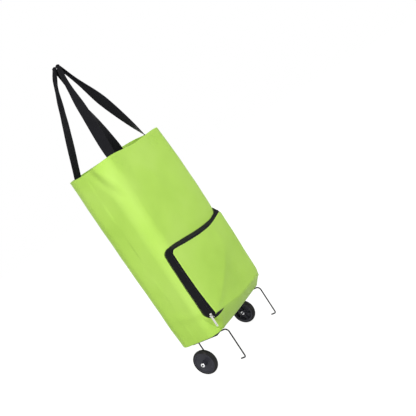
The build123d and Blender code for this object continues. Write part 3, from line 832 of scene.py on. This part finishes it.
def make_pocket_strip():
    """The strip under the pocket panel, from its fold down to the bag's lower front edge."""
    tail = gusset_out[:np.searchsorted(gusset_run, 56 * mm)][::-1]
    fold_x = np.linspace(tail_x, panel_half, 150)[1:]
    fold_z = panel_foot(fold_x)
    crease = np.stack([fold_x, panel_face(fold_x, fold_z) + 1.0 * mm, fold_z], -1)
    upper = np.concatenate([tail, crease])
    run = distance_along(upper)
    last = run[-1]
    lower_x = curve_through(run, ((0, -0.1213), (0.014, -0.1212), (0.030, -0.1190), (0.045, -0.112),
                                  (0.060, -0.100), (0.075, -0.084), (last - 16 * mm, 0.1035),
                                  (last, panel_half)))
    lower_z = curve_through(run, ((0, 0.137), (0.014, 0.128), (0.030, 0.114), (0.045, 0.096),
                                  (0.060, 0.082), (0.075, floor_z), (last - 16 * mm, floor_z),
                                  (last - 7 * mm, 0.0815), (last, 0.0835)))
    lower_y = np.array([bag_wall_at(a, b) for a, b in zip(lower_x, lower_z)]) - 0.1 * mm
    lower = np.stack([lower_x, lower_y, lower_z], -1)
    share = np.linspace(0, 1, 25)[:, None, None]
    full = curve_through(run, ((20 * mm, 0), (70 * mm, 1), (last - 80 * mm, 1), (last - 25 * mm, 0.4),
                               (last, 0.0)))[None, :, None]
    bulge = np.array((0, -0.6, -0.8)) * 0.8 * mm
    grid = upper + (lower - upper) * share + bulge * 4 * share * (1 - share) * full
    height = np.linalg.norm(lower - upper, axis=1)
    piece = sheet("pocket_strip", grid, run[None, :], share[:, :, 0] * height[None, :],
                  centre=(0, mid_y, 0.2))
    return thicken(piece, cloth)


dress(make_pocket_panel(), lime_oxford, "bag", ("pocket_panel",))
dress(make_gusset(), black_tape, "bag", ("pocket_gusset",))
dress(make_pocket_strip(), lime_oxford, "bag", ("spine_strip",))
dress(zip_row("zip_teeth_on_panel", 5.4 * mm), black_coil, "bag", ("panel_zip_row",))
dress(zip_row("zip_teeth_on_gusset", 7.2 * mm), black_coil, "bag", ("gusset_zip_row",))


# ---------------------------------------------------------------- handles

def handle_leg(back, crown_y, foot_x, lean, turns):
    """Middle line, width direction, width and curl of one leg, from its sewn end up to the crown.

    The lean moves the leg backwards where it passes the lip.
    """
    sewn_z = np.linspace(lip_z - sewn_length, lip_z - 1 * mm, 14)
    inside = (2 * hem_gap + strap_thickness / 2 + 0.1 * mm) * (-1 if back else 1)
    inmost = min if back else max
    foot_y = inside + np.array([inmost(bag_wall_at(foot_x + edge * strap_width / 2, z, back)
                                       for edge in (-1, 0, 1)) for z in sewn_z])
    foot_y += lean * smooth(sewn_z, lip_z - 16 * mm, lip_z)
    sewn = np.stack([np.full_like(sewn_z, foot_x), foot_y, sewn_z], -1)
    fall = (1 - np.linspace(0, 1, 110)[1:]) ** 1.5
    top = crown_z - strap_thickness / 2
    reach, bend = 0.25, 10 * mm     # the leg's slant beside the crown's rounding
    drop = (np.sqrt((fall * reach) ** 2 + bend**2) - bend) / (sqrt(reach**2 + bend**2) - bend)
    free = np.stack([foot_x * fall, crown_y + (foot_y[-1] - crown_y) * fall,
                     top - (top - sewn_z[-1]) * drop], -1)
    middle = np.concatenate([sewn, free])
    share = np.r_[np.linspace(-0.15, 0, len(sewn_z)), 1 - fall]
    turn = np.radians(curve_through(share, turns))
    way = np.stack([np.cos(turn), np.sin(turn), 0 * turn], -1)
    pinched = smooth(share, 0.45, 0.84)
    return middle, way, strap_width - strap_pinch * pinched, strap_curl * pinched


def make_handle(name, back, crown_y, feet, leans, turns):
    """One carrying handle: a single length of webbing, twisted as it hangs from its crown."""
    rising, falling = (handle_leg(back, crown_y, *leg) for leg in zip(feet, leans, turns))
    middle, way, width, curl = (np.concatenate([a, b[::-1][1:]]) for a, b in zip(rising, falling))
    return ribbon(name, middle, way, width, curl, strap_thickness)


# For each handle's left and right leg: x of its sewn end, and how its width turns, as stops of (share of the
# way from the lip to the crown, degrees).
front_feet, back_feet = (-0.092, 0.060), (-0.086, 0.080)
front_turns = (((-0.15, 180), (-0.03, 178), (0.02, 168), (0.5, 166), (0.75, 150), (0.9, 115), (1, 90)),
               ((-0.15, 0), (-0.06, 2), (0, 30), (0.08, 48), (0.25, 75), (0.5, 100), (0.75, 95), (1, 90)))
back_turns = (((-0.15, 180), (0, 186), (0.3, 184), (0.45, 188), (0.56, 189), (0.66, 179), (0.8, 170), (1, 90)),
              ((-0.15, 0), (-0.06, 0), (0, -22), (0.2, -16), (0.37, 6), (0.57, 38), (0.75, 62), (1, 90)))
for handle, node, *form in (
        ("front_strap", "front_handle", False, mid_y + 3 * mm, front_feet, (0, 6.5 * mm), front_turns),
        ("back_strap", "back_handle", True, mid_y + 13 * mm, back_feet, (0, -6.5 * mm), back_turns)):
    strap = dress(make_handle(handle, *form), black_webbing, None, (node, node + "_tabs"))
    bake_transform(strap)


# ---------------------------------------------------------------- wrist loop and seam bindings

def make_wrist_loop():
    """Short loop of lime webbing hanging from the right side, its fold at the bottom."""
    near, far = low("wrist_loop"), high("wrist_loop")
    gape = 1.2 * mm                 # how far the loop opens towards its fold
    inner, outer = near.x + 0.7 * mm, far.x - 0.5 * mm
    bend = (outer - inner) / 2 + gape
    down = np.linspace(far.z, near.z + bend, 40)
    turn = np.linspace(0, pi, 15)[1:-1]
    opened = outer + gape * np.sin(np.linspace(0, pi / 2, len(down))) ** 2
    x = np.r_[np.full_like(down, inner), inner + (outer + gape - inner) * (1 - np.cos(turn)) / 2, opened[::-1]]
    z = np.r_[down, near.z + bend - bend * np.sin(turn), down[::-1]]
    middle = np.stack([x, np.full_like(x, (near.y + far.y) / 2), z], -1)
    way = np.tile((0.0, 1.0, 0.0), (len(middle), 1))
    return ribbon("side_loop", middle, way, np.full_like(x, far.y - near.y), 0 * x, 1.1 * mm)


def make_seam_tape(hand):
    """Bound seam inside the bag: tape folded over the cloth's raw edges, slightly wavy."""
    node = hand + "_seam_binding"
    sewn_x, loose_x = (end(node).x for end in ((low, high) if hand == "left" else (high, low)))
    height = np.linspace(low(node).z, high(node).z, 130)[:, None]
    place = np.linspace(0, 1, 13)[None, :]
    wave = (1.1 * mm * np.sin(height * 58) + 0.5 * mm * np.sin(height * 131 + 1)) * place
    x = sewn_x + (loose_x - sewn_x) * place + 0 * height
    grid = np.stack([x, mid_y + wave, height + 0 * x], -1)
    return thicken(sheet(hand + "_seam_tape", grid, x, height), 1.2 * mm, offset=0.0)


dress(make_wrist_loop(), lime_webbing, "bag", ("wrist_loop",))
for hand in ("left", "right"):
    dress(make_seam_tape(hand), black_tape, "bag", (hand + "_seam_binding",))


# ---------------------------------------------------------------- sewing

def box_stitch(x, back):
    """The line that sews a handle's end: a box and the cross inside it."""
    wide, low_z, high_z = strap_width / 2 - 2.2 * mm, lip_z - sewn_length + 3 * mm, lip_z - 9 * mm
    corners = ((-wide, low_z), (wide, low_z), (wide, high_z), (-wide, high_z), (-wide, low_z),
               (wide, high_z), (-wide, high_z), (wide, low_z))
    line = [(x + x0 + (x1 - x0) * t, z0 + (z1 - z0) * t)
            for (x0, z0), (x1, z1) in zip(corners, corners[1:]) for t in np.linspace(0, 1, 16)[:-1]]
    lift = thread_lift if back else -thread_lift
    return [(a, bag_wall_at(a, b, back) + lift, b) for a, b in line]


def on_panel_face(x, z):
    """Sewing line that lies on the pocket panel."""
    return np.stack([x, panel_face(x, z) - thread_lift, z], -1)


def sewing_lines():
    """The lime seams: hem, panel edge, panel foot and the boxes at the handles' ends."""
    around = np.linspace(0, girth, 700)
    hem_edge = lip_z - hem_gap - lip_sag(around) - hem_height
    edge = panel_edge(edge_to_seam)
    across = np.linspace(-0.100, panel_half - edge_to_seam, 200)
    rows = [bag_point(around, hem_edge + 2.5 * mm, -thread_lift),
            on_panel_face(edge[:, 0], edge[:, 1]),
            on_panel_face(across, panel_foot(across) + edge_to_seam)]
    for feet, back in ((front_feet, False), (back_feet, True)):
        rows += [box_stitch(x, back) for x in feet]
    return rows


lime_seams = beads_along("lime_seams", sewing_lines(), stitch_pitch, stitch_size, lime_thread)
gusset_line = gusset_at(1 - 2.2 * mm / np.maximum(gusset_width, 8 * mm), 0.15 * mm)[gusset_run > 44 * mm]
gusset_seam = beads_along("gusset_seam", [gusset_line], 2.6 * mm, (2.0 * mm, *stitch_size[1:]), lime_thread)
for seam in (lime_seams, gusset_seam):
    dress(seam, lime_thread, "bag")


# ---------------------------------------------------------------- CAD pieces keep their shape

finishes = {"base_board": base_fibre, "channel_rivets": plated_steel,
            "zip_slider": zip_nickel, "zip_pull_tab": zip_nickel}
for hand in ("left_", "right_"):
    finishes.update({hand + "base_channel": channel_plastic, hand + "wire_frame": black_wire,
                     hand + "axle_washer": plated_steel, hand + "push_nut": nut_chrome,
                     hand + "wheel_hub": hub_plastic, hand + "tyre": wheel_rubber})
for node, material in finishes.items():
    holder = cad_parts[node]
    holder.data.materials.clear()
    holder.data.materials.append(material)


# ---------------------------------------------------------------- stage, light and camera

def seen_directly(tree):
    """1 for what the camera sees, also in or through the object's surfaces, and 0 for what lights it."""
    path = tree.nodes.new("ShaderNodeLightPath")
    seen = path.outputs["Is Camera Ray"]
    for ray in ("Is Glossy Ray", "Is Transmission Ray"):
        either = tree.nodes.new("ShaderNodeMath")
        either.operation = "MAXIMUM"
        tree.links.new(seen, either.inputs[0])
        tree.links.new(path.outputs[ray], either.inputs[1])
        seen = either.outputs[0]
    return seen


def make_floor():
    """Pale floor that glows almost white and keeps the object's soft shadow."""
    reach, grey, glow = 12.0, 0.30, 0.88
    floor = new_piece("floor", [(-reach, -reach, 0), (reach, -reach, 0), (reach, reach, 0),
                                (-reach, reach, 0)], [(0, 1, 2, 3)])
    pale = Finish("pale_floor", Roughness=1.0, Specular_IOR_Level=0.0)
    pale.shader.inputs["Base Color"].default_value = (grey, grey, grey, 1)
    light = pale.node("Emission")
    pale.join(pale.math("MULTIPLY", seen_directly(pale.tree), glow), light.inputs["Strength"])
    both = pale.node("AddShader")
    pale.join(pale.shader.outputs[0], both.inputs[0])
    pale.join(light.outputs[0], both.inputs[1])
    pale.join(both.outputs[0], pale.tree.nodes["Material Output"].inputs["Surface"])
    dress(floor, pale.material)


def make_world():
    """White world, which lights the object at half the strength that it is seen with."""
    world = bpy.data.worlds.new("studio")
    bpy.context.scene.world = world
    world.use_nodes = True
    tree = world.node_tree
    strength = tree.nodes.new("ShaderNodeMapRange")
    strength.inputs["To Min"].default_value = 0.50
    strength.inputs["To Max"].default_value = 1.0
    background = tree.nodes["Background"]
    background.inputs["Color"].default_value = (1, 1, 1, 1)
    tree.links.new(seen_directly(tree), strength.inputs["Value"])
    tree.links.new(strength.outputs[0], background.inputs["Strength"])


def area_light(name, place, size, power):
    """Round lamp, out of the camera's sight, aimed at the bag."""
    lamp = bpy.data.lights.new(name, "AREA")
    lamp.shape = "DISK"
    lamp.size = size
    lamp.energy = power
    holder = bpy.data.objects.new(name, lamp)
    holder.location = place
    aim = Vector((0, 0, 0.3)) - Vector(place)
    holder.rotation_euler = aim.to_track_quat("-Z", "Y").to_euler()
    holder.visible_camera = False
    bpy.context.scene.collection.objects.link(holder)


def make_camera():
    """Camera at the left front, a little above the bag's middle and rolled, so that the bag leans."""
    place = Vector((-1.2606, -0.9734, 0.4783))
    azimuth, pitch, roll = radians(-55.96), radians(6.07), radians(-32.97)
    view = Vector((-sin(azimuth) * cos(pitch), cos(azimuth) * cos(pitch), -sin(pitch)))
    level = view.cross(Vector((0, 0, 1))).normalized()
    upright = level.cross(view)
    right = level * cos(roll) + upright * sin(roll)
    up = upright * cos(roll) - level * sin(roll)
    lens = bpy.data.cameras.new("camera")
    lens.lens = 60.16
    lens.sensor_width = 36.0
    lens.clip_end = 50.0
    holder = bpy.data.objects.new("camera", lens)
    holder.matrix_world = Matrix.Translation(place) @ Matrix((right, up, -view)).transposed().to_4x4()
    bpy.context.scene.collection.objects.link(holder)
    bpy.context.scene.camera = holder


make_floor()
make_world()
area_light("key", (-0.50, -1.42, 0.80), 0.9, 13.0)
area_light("fill", (-1.90, -0.10, 0.30), 1.0, 14.8)
area_light("rim", (1.5, 2.0, 1.3), 1.8, 18)
make_camera()
bpy.context.scene.view_settings.view_transform = "Standard"
